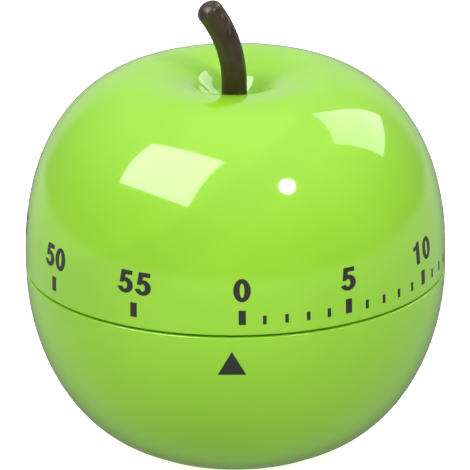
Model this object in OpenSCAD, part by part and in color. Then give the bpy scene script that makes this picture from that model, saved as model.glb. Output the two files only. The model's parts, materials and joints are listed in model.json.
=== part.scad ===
// Apple-shaped clockwork kitchen timer, in millimetres.
// The upper half is the dial: it turns on the main arbor of a spring-driven movement
// that is screwed into the lower half. Origin: centre of the base, +Z up, pointer at -Y.

/* [Body] */
// Largest radius of the body, at its equator
body_r = 30; // [28:0.5:33]
// Height of the equator above the table
equator_z = 27; // [26:0.5:28]
// Height of the crown above the equator
crown_h = 27.6; // [27:0.1:28.5]
// Radius of the crown's highest ring, inside which it falls towards the stem
hollow_rim_r = 12.5; // [12:0.1:13]
// How far the gentle dip inside that ring falls
hollow_dip = 1.8; // [1.5:0.1:2.2]
// How much deeper the pit round the stem's foot goes
hollow_pit = 2.6; // [2:0.1:3]
// How far below the table the ellipse of the lower half would end
belly_under = 0.28; // [0.2:0.02:0.6]
// Centre radius of that ellipse
belly_r = 10.35; // [10:0.05:11]
// Thickness of both shells
wall = 1.8; // [1.5:0.1:2]
// Height of the parting line between the halves
seam_z = 26.2; // [26:0.1:27]
// Gap between the halves
seam_gap = 0.35; // [0.2:0.05:0.5]

/* [Stem] */
// Radius of the stem at its foot
stem_r = 1.83; // [1.5:0.01:1.86]
// Radius of the stem at its rounded tip
stem_tip_r = 1.92; // [1.6:0.02:2.1]
// Length of the straight lower part of the stem
stem_straight = 3.3; // [2.4:0.1:4.4]
// Radius of the arc that the rest of the stem bends along
stem_bend_r = 17.8; // [15:0.2:20]
// Angle that the stem bends through
stem_bend = 35.5; // [30:0.5:42]

/* [Movement] */
// Height of the underside of the bottom plate
plate_z = 12; // [12:0.1:12.2]
// Distance between the two plates
plate_gap = 13.2; // [13.2:0.1:13.6]
// Thickness of each plate
plate_t = 0.8; // [0.6:0.1:0.8]
// Radius of each plate
plate_r = 24; // [23.8:0.1:24.2]
// Radial running clearance of the pivots
play = 0.06; // [0.05:0.01:0.08]

/* [Train] */
// Teeth on the great wheel
great_teeth = 60; // [56:1:62]
// Teeth on the second wheel
second_teeth = 54; // [50:1:56]
// Teeth on the third wheel
third_teeth = 48; // [44:1:50]
// Teeth on the escape wheel
escape_teeth = 24; // [20:1:26]
// Leaves on each pinion
leaves = 8; // [7:1:9]
// Module of the great wheel and the second pinion
great_m = 0.4; // [0.38:0.01:0.41]
// Module of the other wheels
fine_m = 0.3; // [0.28:0.01:0.31]

/* [Hidden] */
$fn = 72;

crown_n_r = 1.88;                   // exponents of the crown's superellipse, outwards and up
crown_n_z = 2.42;
belly_n = 2.012;                    // exponent of the lower half's superellipse
belly_h = equator_z + belly_under;
top_z = equator_z + crown_h;
base_z = 0.3;                       // underside of the lower shell, the foot ring stands 0.3 lower
floor_z = 2.2;                      // inside face of the lower shell's floor
fit = 0.02;                         // clearance of parts that are pressed together
end_gap = 0.2;                      // space past the end of a shaft or peg in a blind hole

// Radius of the body's outside at a height, both drawn in by inset
function belly_radius(z, inset = 0) =
    belly_r + (body_r - inset - belly_r)
    * pow(max(0, 1 - pow((equator_z - z) / (belly_h - inset), belly_n)), 1 / belly_n);
// A point of the crown, t running from 0 at the equator to 90 at the rim of the hollow
function crown_point(t, inset = 0) = [
    hollow_rim_r + (body_r - inset - hollow_rim_r) * pow(cos(t), 2 / crown_n_r),
    equator_z + (crown_h - inset) * pow(sin(t), 2 / crown_n_z)];
// Height of the hollow's surface at a radius: a gentle dip, then a pit with a flat bottom
hollow_floor_r = 1.9;
pit_r = 2.75;                       // from the flat bottom to half way up the pit's wall
pit_n = 3.5;                        // larger makes that wall steeper
function pit_share(r) = 1 / (1 + pow(max(0, r - hollow_floor_r) / pit_r, pit_n));
function hollow_z(r) =
    top_z - hollow_dip * pow((hollow_rim_r - r) / (hollow_rim_r - hollow_floor_r), 2)
    - hollow_pit * (pit_share(r) - pit_share(hollow_rim_r)) / (1 - pit_share(hollow_rim_r));
hollow_floor_z = hollow_z(hollow_floor_r);
function smooth(s) = s * s * (3 - 2 * s);
function steps(a, b, n) = [for (i = [0:n]) a + (b - a) * i / n];

// ---------------------------------------------------------------- outer shells
upper_z0 = seam_z + seam_gap / 2;
lower_z1 = seam_z - seam_gap / 2;
boss_r = 4.6;                       // boss in the upper shell that holds the main arbor
boss_z = 36;
shaft_r = 2.2;                      // D-shaped top of the main arbor
shaft_flat = 1.7;
shaft_z0 = boss_z;
shaft_z1 = 44.5;
peg_r = 1.2;                        // peg of the stem
peg_depth = 3;
rib_t = 1.2;                        // ribs between the boss and the inside of the crown
rib_z0 = 39;
rib_z1 = 47;
rib_angles = [30:60:330];

function crown_outline(inset) = [for (t = steps(0, 90, 30)) crown_point(t, inset)];
// The hollow's surface, or the shell's underside below it, which is thicker towards the boss
steep_extra = 0.35;
function hollow_outline(drop) = [
    for (r = steps(hollow_rim_r, hollow_floor_r, 20))
        [r, hollow_z(r) - drop * (1 + steep_extra * (hollow_rim_r - r) / (hollow_rim_r - boss_r))]];

module dial_flats() {
    intersection() {
        circle(r = shaft_r + fit);
        translate([-2 * shaft_r, -2 * shaft_r])
            square([2 * shaft_r + shaft_flat + fit, 4 * shaft_r]);
    }
}

module upper_rib() {
    mid = wall / 2;
    rotate([90, 0, 0]) linear_extrude(rib_t, center = true) polygon(concat(
        [[boss_r - 0.5, rib_z0], [boss_r - 0.5, rib_z1]],
        [for (t = steps(88, 55, 8)) crown_point(t, mid)]));
}

module upper_shell() {
    under_hollow = hollow_outline(wall);
    color("yellowgreen") difference() {
        union() {
            rotate_extrude() polygon(concat(
                [[belly_radius(upper_z0, wall), upper_z0], [belly_radius(upper_z0), upper_z0]],
                crown_outline(0),
                hollow_outline(0),
                [[0, hollow_floor_z], [0, boss_z], [boss_r, boss_z]],
                [[boss_r, hollow_z(boss_r) - (1 + steep_extra) * wall]],
                [for (i = [len(under_hollow) - 1:-1:0]) if (under_hollow[i][0] > boss_r)
                    under_hollow[i]],
                [for (t = steps(87, 0, 29)) crown_point(t, wall)]));
            for (a = rib_angles) rotate(a) upper_rib();
        }
        translate([0, 0, boss_z - 1]) linear_extrude(shaft_z1 - boss_z + 1 + end_gap) dial_flats();
        translate([0, 0, hollow_floor_z - peg_depth - end_gap])
            cylinder(r = peg_r + fit, h = peg_depth + 1);
    }
}

spigot_r = body_r - wall - 0.3;     // ring of the lower shell that centres the upper one
spigot_t = 1.4;
spigot_h = 1.8;                     // how far the ring stands above the lower shell
foot_r0 = 10.8;
foot_r1 = 13;
foot_h = 1.1;
foot_edge = 0.25;                   // its chamfered lower edges
base_recess_r = 10;                 // shallow recess inside the foot ring
base_recess = 0.6;
screw_boss_at = 21.5;               // how far the screw bosses stand from the centre
screw_boss_angles = [30, 150, 270];
screw_boss_r = 2.8;
screw_boss_z0 = 3;
screw_hole_r = 0.9;
screw_hole_depth = 4.6;
sound_slot_r0 = 4.2;                // slots in the base that let the bell be heard
sound_slot_r1 = 8.8;
sound_slot_w = 1.2;
sound_slot_angles = [0:45:315];
bell_post_r = 3;
bell_z = 8.8;                       // underside of the bell's flat top

spigot_root = 1.2;                  // how far the ring reaches down inside the wall
belly_heights = [1, 2, 3, 4.5, 6, 8, 10, 12.5, 15, 18, 21, 24];
module lower_solid(inset) {
    rotate_extrude() polygon(concat(
        [[0, base_z + inset], [belly_radius(base_z + inset, inset), base_z + inset]],
        [for (z = belly_heights) if (z > base_z + inset + 0.4) [belly_radius(z, inset), z]],
        [[belly_radius(lower_z1, inset), lower_z1], [0, lower_z1]]));
}

module lower_shell() {
    color("yellowgreen") difference() {
        union() {
            difference() {
                lower_solid(0);
                rotate_extrude() polygon(concat(
                    [[0, floor_z], [belly_radius(floor_z, wall) - 2, floor_z]],
                    [for (z = belly_heights) if (z > floor_z + 0.4) [belly_radius(z, wall), z]],
                    [[spigot_r - spigot_t, 25], [spigot_r - spigot_t, 30], [0, 30]]));
            }
            translate([0, 0, lower_z1 - spigot_root]) difference() {
                cylinder(r = spigot_r, h = spigot_root + spigot_h);
                translate([0, 0, -1]) cylinder(r = spigot_r - spigot_t, h = 5);
            }
            intersection() {
                for (a = screw_boss_angles) rotate(a) translate([screw_boss_at, 0, screw_boss_z0])
                    cylinder(r = screw_boss_r, h = plate_z - screw_boss_z0);
                lower_solid(wall / 2);
            }
            translate([0, 0, floor_z - 0.5])
                cylinder(r = bell_post_r, h = bell_z - floor_z + 0.5);
        }
        for (a = screw_boss_angles) rotate(a)
            translate([screw_boss_at, 0, plate_z - screw_hole_depth])
                cylinder(r = screw_hole_r, h = screw_hole_depth + 1);
        translate([0, 0, bell_z - screw_hole_depth])
            cylinder(r = screw_hole_r, h = screw_hole_depth + 1);
        translate([0, 0, base_z - 1]) difference() {
            cylinder(r = foot_r1, h = foot_h + 1);
            translate([0, 0, -1]) cylinder(r = foot_r0, h = foot_h + 3);
        }
        translate([0, 0, base_z - 1]) cylinder(r = base_recess_r, h = base_recess + 1);
        for (a = sound_slot_angles) rotate(a) translate([sound_slot_r0, -sound_slot_w / 2, -1])
            cube([sound_slot_r1 - sound_slot_r0, sound_slot_w, floor_z + 2]);
    }
}

module foot_ring() {
    top = base_z + foot_h - fit;
    color("dimgray") rotate_extrude() polygon([
        [foot_r0 + fit, top], [foot_r0 + fit, foot_edge], [foot_r0 + foot_edge, 0],
        [foot_r1 - foot_edge, 0], [foot_r1 - fit, foot_edge], [foot_r1 - fit, top]]);
}

// ---------------------------------------------------------------- stem
stem_foot_z = hollow_floor_z;
stem_bend_z = stem_foot_z + stem_straight;
stem_sides = 20;
stem_rings = 18;
stem_split = 4 / stem_rings;        // share of the rings in the straight part
stem_waist = 0.05;                  // how much thinner the stem is half way up
function stem_axis(t) = t < stem_split
    ? [0, stem_foot_z + stem_straight * t / stem_split, 0]
    : let (a = stem_bend * (t - stem_split) / (1 - stem_split))
      [-stem_bend_r * (1 - cos(a)), stem_bend_z + stem_bend_r * sin(a), a];
function stem_width(t) = stem_r + (stem_tip_r - stem_r) * smooth(t) - stem_waist * sin(180 * t);
function stem_ring(x, z, lean, r) = [
    for (i = [0:stem_sides - 1]) let (a = 360 * i / stem_sides)
        [x + r * cos(a) * cos(lean), r * sin(a), z + r * cos(a) * sin(lean)]];
stem_rows = concat(
    [for (t = steps(0, 1, stem_rings)) let (p = stem_axis(t)) [p[0], p[1], p[2], stem_width(t)]],
    [for (b = [25, 50, 72]) let (p = stem_axis(1), d = 0.8 * stem_tip_r * sin(b))
        [p[0] - d * sin(p[2]), p[1] + d * cos(p[2]), p[2], stem_tip_r * cos(b)]]);

module stem() {
    rows = len(stem_rows);
    points = [for (s = stem_rows) each stem_ring(s[0], s[1], s[2], s[3])];
    color("saddlebrown") union() {
        polyhedron(points, concat(
            [[for (i = [0:stem_sides - 1]) i]],
            [for (k = [0:rows - 2], i = [0:stem_sides - 1]) let (j = (i + 1) % stem_sides)
                [k * stem_sides + i, (k + 1) * stem_sides + i,
                 (k + 1) * stem_sides + j, k * stem_sides + j]],
            [[for (i = [stem_sides - 1:-1:0]) (rows - 1) * stem_sides + i]]));
        translate([0, 0, stem_foot_z - peg_depth]) cylinder(r = peg_r, h = peg_depth + 1);
    }
}

// ---------------------------------------------------------------- frame of the movement
gap_z0 = plate_z + plate_t;         // space between the plates
gap_z1 = gap_z0 + plate_gap;
top_plate_z1 = gap_z1 + plate_t;
pivot_r = 0.5;
arbor_r = 0.8;

great_r = great_m * great_teeth / 2;
second_r = fine_m * second_teeth / 2;
third_r = fine_m * third_teeth / 2;
coarse_leaf_r = great_m * leaves / 2;
fine_leaf_r = fine_m * leaves / 2;
escape_r = 5.1;

// Pivot places: each arbor stands one centre distance from the last and its own distance
// from the main arbor, which fixes the angle between them.
function between(a, b, c) = acos((a * a + b * b - c * c) / (2 * a * b));
second_at = great_r + coarse_leaf_r;
third_at = 14;
escape_at = 14.5;
pallet_at = 15;
pallet_reach = 7.8;                 // from the escape arbor to the pallet arbor
second_a = 150;
third_a = second_a - between(second_at, third_at, second_r + fine_leaf_r);
escape_a = third_a - between(third_at, escape_at, third_r + fine_leaf_r);
pallet_a = escape_a - between(escape_at, pallet_at, pallet_reach);
hammer_at = 17.5;
hammer_a = -75;
function polar(r, a) = [r * cos(a), r * sin(a)];
second_p = polar(second_at, second_a);
third_p = polar(third_at, third_a);
escape_p = polar(escape_at, escape_a);
pallet_p = polar(pallet_at, pallet_a);
hammer_p = polar(hammer_at, hammer_a);
function heading(a, b) = atan2(b[1] - a[1], b[0] - a[0]);

pillar_places = [polar(20.8, 14), polar(22.2, 130.5), polar(20.8, 203), polar(20.8, 318)];
pillar_r = 1.6;
rivet_r = 1;                        // the pillar's thin ends, riveted below, threaded above
rivet_head_r = 1.35;
rivet_head_h = 0.3;
pillar_thread_h = 1.7;              // thread above the top plate
pillar_nut_r = 2.1;
pillar_nut_h = 1.4;
lower_bushing_r = 2.8;
upper_bushing_r = 3.6;
lower_journal_r = 1.5;
journal_r = 2.2;
stop_at = 11.6;
stop_r = 0.35;
stop_arm_w = 0.6;
stop_post_a = 93.6;                 // the stop arm rests just short of the post

// The holes that both plates have
module plate_holes() {
    for (p = [second_p, third_p, escape_p, pallet_p]) translate(p) circle(r = pivot_r + play);
    translate(hammer_p) circle(r = arbor_r + play);
    for (p = pillar_places) translate(p) circle(r = rivet_r + fit);
}

// A lightening window: the part of a ring within w degrees of angle a
module window(a, w, r0, r1) {
    difference() {
        circle(r = r1);
        circle(r = r0);
        rotate(a + w) translate([-40, 0]) square([80, 40]);
        rotate(a - w + 180) translate([-40, 0]) square([80, 40]);
    }
}

module bottom_plate() {
    color("silver") translate([0, 0, plate_z]) linear_extrude(plate_t) difference() {
        circle(r = plate_r);
        circle(r = lower_bushing_r + fit);
        plate_holes();
        translate(polar(stop_at, stop_post_a)) circle(r = stop_r + fit);
        for (a = screw_boss_angles) rotate(a) translate([screw_boss_at, 0])
            circle(r = screw_hole_r + 0.2);
        window(0, 30, 7, 18);
        window(232, 22, 7, 18);
    }
}

cup_r = 12.6;
cup_tab_at = 15;
cup_tab_angles = [12, 132, 252];
cup_screw_r = 0.8;
module top_plate() {
    color("silver") translate([0, 0, gap_z1]) linear_extrude(plate_t) difference() {
        circle(r = plate_r);
        circle(r = upper_bushing_r + fit);
        plate_holes();
        for (a = cup_tab_angles) rotate(a) translate([cup_tab_at, 0]) circle(r = cup_screw_r);
        window(267, 9, 16, 22.5);
        window(176, 12, 15, 22.5);
    }
}

module pillar(i) {
    color("goldenrod") translate(pillar_places[i]) union() {
        translate([0, 0, gap_z0]) cylinder(r = pillar_r, h = plate_gap);
        translate([0, 0, plate_z]) cylinder(r = rivet_r, h = plate_t + 0.5);
        translate([0, 0, plate_z - rivet_head_h]) cylinder(r = rivet_head_r, h = rivet_head_h);
        translate([0, 0, gap_z1 - 0.5])
            cylinder(r = rivet_r, h = plate_t + pillar_thread_h + 0.5);
    }
}
module pillar_1() { pillar(0); }
module pillar_2() { pillar(1); }
module pillar_3() { pillar(2); }
module pillar_4() { pillar(3); }

module pillar_nuts() {
    color("gold") for (p = pillar_places) translate([p[0], p[1], top_plate_z1]) difference() {
        cylinder(r = pillar_nut_r, h = pillar_nut_h, $fn = 6);
        translate([0, 0, -1]) cylinder(r = rivet_r + fit, h = pillar_nut_h + 2);
    }
}

// A screw standing on z = 0: a slotted head with a bevelled top, and a shank of length l below
slot_w = 0.5;
module screw(head_r, head_h, shank_r, l) {
    difference() {
        union() {
            cylinder(r = head_r, h = head_h * 0.6);
            translate([0, 0, head_h * 0.6])
                cylinder(r1 = head_r, r2 = head_r * 0.75, h = head_h * 0.4);
        }
        translate([-head_r - 1, -slot_w / 2, head_h * 0.5])
            cube([2 * head_r + 2, slot_w, head_h]);
    }
    translate([0, 0, -l]) cylinder(r = shank_r, h = l + 0.1);
}

module mount_screws() {
    color("lightgray") for (a = screw_boss_angles) rotate(a)
        translate([screw_boss_at, 0, gap_z0]) screw(1.8, 1.2, screw_hole_r - fit, 5.2);
}

// A bushing stands a little proud of the underside of its plate
bushing_lip = 0.1;
module bushing(r, journal, z) {
    color("gold") translate([0, 0, z - bushing_lip]) difference() {
        cylinder(r = r, h = plate_t + bushing_lip);
        translate([0, 0, -1]) cylinder(r = journal + play, h = plate_t + 2);
    }
}
module lower_bushing() { bushing(lower_bushing_r, lower_journal_r, plate_z); }
module upper_bushing() { bushing(upper_bushing_r, journal_r, gap_z1); }

// ---------------------------------------------------------------- main arbor and ratchet
main_r = 2.5;
end_play = 0.15;                    // endwise clearance of every arbor between the plates
arbor_z0 = plate_z - 1;             // lower end of the main arbor
hub_r = 3;                          // thick part of the main arbor inside the mainspring
hub_z0 = top_plate_z1 + 0.8;
clip_groove_r = 1.15;
clip_groove_h = 0.4;
clip_z = plate_z - 0.65;            // bottom of the groove
clip_r = 2.7;
clip_t = 0.34;
module main_arbor() {
    color("gray") difference() {
        union() {
            translate([0, 0, arbor_z0]) cylinder(r = lower_journal_r, h = 3);
            translate([0, 0, gap_z0 + end_play]) cylinder(r = main_r, h = plate_gap - 2 * end_play);
            translate([0, 0, gap_z1 - 1]) cylinder(r = journal_r, h = hub_z0 - gap_z1 + 2);
            translate([0, 0, hub_z0]) cylinder(r = hub_r, h = shaft_z0 - hub_z0);
            translate([0, 0, shaft_z0 - 0.5]) intersection() {
                cylinder(r = shaft_r, h = shaft_z1 - shaft_z0 + 0.5 - end_gap / 2);
                translate([-2 * shaft_r, -2 * shaft_r, -1])
                    cube([2 * shaft_r + shaft_flat, 4 * shaft_r, shaft_z1 - shaft_z0 + 2]);
            }
        }
        translate([0, 0, clip_z]) difference() {
            cylinder(r = 2 * lower_journal_r, h = clip_groove_h);
            translate([0, 0, -1]) cylinder(r = clip_groove_r, h = clip_groove_h + 2);
        }
    }
}

// An E clip in the groove, open on the +X side
module arbor_clip() {
    mouth = 2 * clip_groove_r - 0.4;
    color("dimgray") translate([0, 0, clip_z + (clip_groove_h - clip_t) / 2])
        linear_extrude(clip_t) difference() {
            circle(r = clip_r);
            circle(r = clip_groove_r + fit);
            translate([0, -mouth / 2]) square([2 * clip_r, mouth]);
            for (a = [110, 250]) rotate(a) translate([1.6, 0]) circle(r = 0.4);
        }
}

// The hole by which a piece is pressed on the main arbor, from height z up
module main_bore(z, h) {
    translate([0, 0, z - 1]) cylinder(r = main_r + fit, h = h + 2);
}

stop_arm_z = gap_z0 + 0.4;
stop_arm_t = 0.8;
module stop_arm() {
    color("lightgray") difference() {
        translate([0, 0, stop_arm_z]) linear_extrude(stop_arm_t) rotate(90) union() {
            circle(r = main_r + 1.3);
            translate([0, -stop_arm_w / 2]) square([stop_at + 0.6, stop_arm_w]);
        }
        main_bore(stop_arm_z, stop_arm_t);
    }
}

module stop_post() {
    color("gray") translate(polar(stop_at, stop_post_a)) translate([0, 0, plate_z])
        cylinder(r = stop_r, h = stop_arm_z + stop_arm_t + 0.3 - plate_z);
}

washer_z = stop_arm_z + stop_arm_t + 0.3;
washer_t = 0.5;
module thrust_washer() {
    color("whitesmoke") difference() {
        translate([0, 0, washer_z]) cylinder(r = 4.2, h = washer_t);
        main_bore(washer_z, washer_t);
    }
}

// ---------------------------------------------------------------- toothed wheels
// A clock wheel: radial flanks below the pitch circle, and above it epicycloids rolled by a
// circle half the size of the pinion, cut off where the tooth is about to come to a point.
tooth_share = 0.47;                 // part of the pitch that a tooth takes
tip_roll = 68;                      // angle that the rolling circle turns from flank to tip
root_depth = 1.5;                   // depth below the pitch circle, in modules
wheel_t = 0.8;
hub_h = 0.5;                        // boss of a wheel above its face
function epicycloid(r, roll, turn) = let (t = turn * roll / r) [
    (r + roll) * cos(t) - roll * cos(t + turn),
    (r + roll) * sin(t) - roll * sin(t + turn)];
module wheel_outline(teeth, m) {
    r = m * teeth / 2;
    half = tooth_share * 180 / teeth;
    // radius of each point of a rising flank, and its angle from the middle of the tooth
    flank = [for (f = [0.5, 0.75, 1]) let (p = epicycloid(r, m * leaves / 4, tip_roll * f))
        [norm(p), half - atan2(p[1], p[0])]];
    polygon([for (k = [0:teeth - 1]) let (c = 360 * k / teeth) each concat(
        [polar(r - root_depth * m, c - half), polar(r, c - half)],
        [for (f = flank) polar(f[0], c - f[1])],
        [for (i = [len(flank) - 1:-1:0]) polar(flank[i][0], c + flank[i][1])],
        [polar(r, c + half), polar(r - root_depth * m, c + half)])]);
}

// A pinion: radial leaves with round tops
leaf_share = 1.05;                  // width of a leaf at the pitch circle, in modules
leaf_root = 1.6;                    // its depth below the pitch circle, in modules
leaf_shoulder = 0.35;               // heights above the pitch circle where it starts to round
leaf_top = 0.55;                    // and where it ends, in modules
module pinion_outline(m) {
    r = m * leaves / 2;
    half = leaf_share * 180 / PI / leaves;
    rising = [[-leaf_root, 1], [0, 1], [leaf_shoulder, 0.72], [leaf_top, 0.3]];
    polygon([for (k = [0:leaves - 1]) let (c = 360 * k / leaves) each concat(
        [for (p = rising) polar(r + p[0] * m, c - p[1] * half)],
        [for (i = [len(rising) - 1:-1:0]) polar(r + rising[i][0] * m, c + rising[i][1] * half)])]);
}

// An arbor at p with thin pivots in both plates
pivot_end = 0.1;                    // how far a pivot stands out of its plate
module train_arbor(p) {
    color("gray") translate([p[0], p[1], 0]) union() {
        translate([0, 0, plate_z - pivot_end])
            cylinder(r = pivot_r, h = plate_gap + 2 * (plate_t + pivot_end));
        translate([0, 0, gap_z0 + end_play])
            cylinder(r = arbor_r, h = plate_gap - 2 * end_play);
        children();
    }
}

// Its pinion: a leaf points at the wheel that drives it
module pinion(z, m, toward) {
    translate([0, 0, z - 0.5]) linear_extrude(wheel_t + 1) rotate(toward) pinion_outline(m);
}

// A wheel on an arbor: a tooth space faces the next pinion
module train_wheel(p, z, teeth, m, toward, holes) {
    r = m * teeth / 2;
    color("gold") translate([p[0], p[1], z]) difference() {
        union() {
            linear_extrude(wheel_t) difference() {
                rotate(toward + 180 / teeth) wheel_outline(teeth, m);
                for (k = [0:holes - 1]) rotate(360 * k / holes) translate([r * 0.56, 0])
                    circle(r = r * 0.22);
            }
            translate([0, 0, wheel_t]) cylinder(r = arbor_r + 0.8, h = hub_h);
        }
        arbor_bore();
    }
}
module arbor_bore() {
    translate([0, 0, -1]) cylinder(r = arbor_r + fit, h = 4);
}

great_z = gap_z0 + 2.2;
great_t = 1;
second_z = gap_z0 + 5;
third_z = gap_z0 + 7.2;
escape_z = gap_z0 + 9.4;

module second_pinion() { train_arbor(second_p) pinion(great_z, great_m, second_a + 180); }
module third_pinion() { train_arbor(third_p) pinion(second_z, fine_m, heading(third_p, second_p)); }
module escape_pinion() { train_arbor(escape_p) pinion(third_z, fine_m, heading(escape_p, third_p)); }
module pallet_arbor() { train_arbor(pallet_p); }
module second_wheel() {
    train_wheel(second_p, second_z, second_teeth, fine_m, heading(second_p, third_p), 5);
}
module third_wheel() {
    train_wheel(third_p, third_z, third_teeth, fine_m, heading(third_p, escape_p), 4);
}

module escape_wheel() {
    pitch = 360 / escape_teeth;
    color("gold") translate([escape_p[0], escape_p[1], escape_z]) difference() {
        union() {
            linear_extrude(wheel_t) difference() {
                polygon([for (k = [0:escape_teeth - 1]) let (c = pitch * k) each [
                    polar(escape_r - 1.1, c), polar(escape_r - 0.1, c + pitch * 0.3),
                    polar(escape_r, c + pitch * 0.42), polar(escape_r - 0.9, c + pitch * 0.5)]]);
                for (a = [45:90:315]) rotate(a) translate([2.8, 0]) circle(r = 1);
            }
            translate([0, 0, wheel_t]) cylinder(r = arbor_r + 0.7, h = hub_h);
        }
        arbor_bore();
    }
}

stud_at = 8.6;                      // click stud on the great wheel
stud_a = 38;
stud_r = 0.7;
stud_foot_r = 0.5;                  // its thin foot, pressed into the wheel
module great_wheel() {
    color("gold") translate([0, 0, great_z]) linear_extrude(great_t) difference() {
        rotate(second_a + 180 / great_teeth) wheel_outline(great_teeth, great_m);
        circle(r = main_r + play);
        translate(polar(stud_at, stud_a)) circle(r = stud_foot_r);
        for (a = [110:60:290]) translate(polar(7.6, a)) circle(r = 2.1);
    }
}

ratchet_teeth = 16;
ratchet_r = 5.6;
ratchet_z = great_z + great_t + 0.15;
ratchet_t = 0.9;
ratchet_depth = 0.9;
module ratchet_wheel() {
    color("lightgray") difference() {
        translate([0, 0, ratchet_z]) linear_extrude(ratchet_t) polygon([
            for (k = [0:ratchet_teeth - 1]) let (c = 360 * k / ratchet_teeth) each
                [polar(ratchet_r, c), polar(ratchet_r - ratchet_depth, c + 1)]]);
        main_bore(ratchet_z, ratchet_t);
    }
}

// The click: its nose between two ratchet teeth, its round tail on the stud
module click() {
    color("lightgray") difference() {
        translate([0, 0, ratchet_z]) linear_extrude(ratchet_t) polygon([
            polar(4.95, 2.6), polar(5.9, 3.2), polar(7.4, 10), polar(9.6, 28), polar(10.1, 38),
            polar(9.5, 46), polar(8, 47), polar(7, 41), polar(6.7, 30), polar(6.0, 14),
            polar(5.85, 7)]);
        translate(polar(stud_at, stud_a)) translate([0, 0, ratchet_z - 1])
            cylinder(r = stud_r + play, h = 4);
    }
}

module click_stud() {
    color("gray") translate(polar(stud_at, stud_a)) union() {
        translate([0, 0, great_z]) cylinder(r = stud_foot_r - fit, h = great_t + 0.2);
        translate([0, 0, great_z + great_t]) cylinder(r = stud_r, h = ratchet_t + 0.3);
        translate([0, 0, ratchet_z + ratchet_t + 0.1]) cylinder(r = stud_r + 0.5, h = 0.35);
    }
}

// A leaf bent round the great wheel's rim, from its foot to the back of the click
leaf_a0 = -55;
leaf_a1 = 8;
leaf_t = 0.25;
function leaf_radius(a) = 9.6 - (a - leaf_a0) * 0.025;
module click_spring() {
    color("silver") translate([0, 0, ratchet_z]) union() {
        linear_extrude(0.7) polygon(concat(
            [for (a = steps(leaf_a0, leaf_a1, 10)) polar(leaf_radius(a), a)],
            [for (a = steps(leaf_a1, leaf_a0, 10)) polar(leaf_radius(a) + leaf_t, a)]));
        translate([0, 0, great_z + great_t - ratchet_z]) linear_extrude(0.85)
            translate(polar(9.4, leaf_a0 - 2)) circle(r = 0.9);
    }
}

// ---------------------------------------------------------------- mainspring and its cup
cup_z0 = top_plate_z1;
cup_z1 = cup_z0 + 7.6;
cup_wall = 0.8;
cup_floor = 0.6;
cup_bore_r = journal_r + 0.2;
cup_tab_r = 2;
cup_tab_w = 3.4;
cup_tab_t = 1.2;
module cup_tab() {
    translate([0, 0, cup_z0]) linear_extrude(cup_tab_t) difference() {
        union() {
            translate([cup_tab_at, 0]) circle(r = cup_tab_r);
            translate([cup_r - cup_wall / 2, -cup_tab_w / 2])
                square([cup_tab_at - cup_r + cup_wall / 2, cup_tab_w]);
        }
        translate([cup_tab_at, 0]) circle(r = cup_screw_r + 0.1);
    }
}

module spring_cup() {
    color("whitesmoke") union() {
        rotate_extrude() polygon([
            [cup_bore_r, cup_z0], [cup_r, cup_z0], [cup_r, cup_z1], [cup_r - cup_wall, cup_z1],
            [cup_r - cup_wall, cup_z0 + cup_floor], [cup_bore_r, cup_z0 + cup_floor]]);
        for (a = cup_tab_angles) rotate(a) cup_tab();
    }
}

module cup_cover() {
    color("silver") translate([0, 0, cup_z1]) linear_extrude(0.5) difference() {
        circle(r = cup_r);
        circle(r = hub_r + 0.3);
        for (a = [60:120:300]) rotate(a) translate([7.6, 0]) circle(r = 1.6);
    }
}

module cup_screws() {
    color("lightgray") for (a = cup_tab_angles) rotate(a)
        translate([cup_tab_at, 0, cup_z0 + cup_tab_t]) screw(1.5, 1, cup_screw_r - fit, 2.6);
}

// A spiral strip from the arbor's hub out to the cup's wall
spring_turns = 6.5;
spring_t = 0.28;
spring_w = 5.8;                     // height of the strip
spring_r0 = hub_r + 0.35;
spring_r1 = cup_r - cup_wall - 0.35;
function spring_radius(u) = spring_r0 + (spring_r1 - spring_r0) * pow(u, 1.15);
module mainspring() {
    n = 200;
    color("steelblue") translate([0, 0, cup_z0 + 0.9]) linear_extrude(spring_w) polygon(concat(
        [for (i = [0:n]) polar(spring_radius(i / n), 360 * spring_turns * i / n)],
        [for (i = [n:-1:0]) polar(spring_radius(i / n) - spring_t, 360 * spring_turns * i / n)]));
}

// ---------------------------------------------------------------- escapement
// Two pallets that reach round the escape wheel, clear of its tips
anchor_a = heading(pallet_p, escape_p);
anchor_z = escape_z - 0.1;
anchor_t = 1;
anchor_hub_r = 1.7;
module pallet_anchor() {
    arm = [[0.9, 1.4], [2.6, 4.6], [4.7, 5.4], [4.9, 4.75], [3.5, 4.2], [1.35, 0.6]];
    color("lightgray") translate([pallet_p[0], pallet_p[1], anchor_z]) difference() {
        union() {
            cylinder(r = anchor_hub_r, h = anchor_t);
            rotate(anchor_a) linear_extrude(anchor_t)
                polygon(concat(arm, [for (i = [len(arm) - 1:-1:0]) [arm[i][0], -arm[i][1]]]));
        }
        arbor_bore();
    }
}

bar_reach = 3.9;                    // from the arbor to the middle of each weight
bar_w = 1.2;
module balance_bar() {
    color("gold") translate([pallet_p[0], pallet_p[1], anchor_z + anchor_t + 0.7]) difference() {
        union() {
            linear_extrude(wheel_t) rotate(anchor_a + 90) union() {
                translate([-bar_reach, -bar_w / 2]) square([2 * bar_reach, bar_w]);
                for (x = [-bar_reach, bar_reach]) translate([x, 0]) circle(r = 1.2);
            }
            cylinder(r = 1.5, h = 1.1);
        }
        arbor_bore();
    }
}

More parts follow.
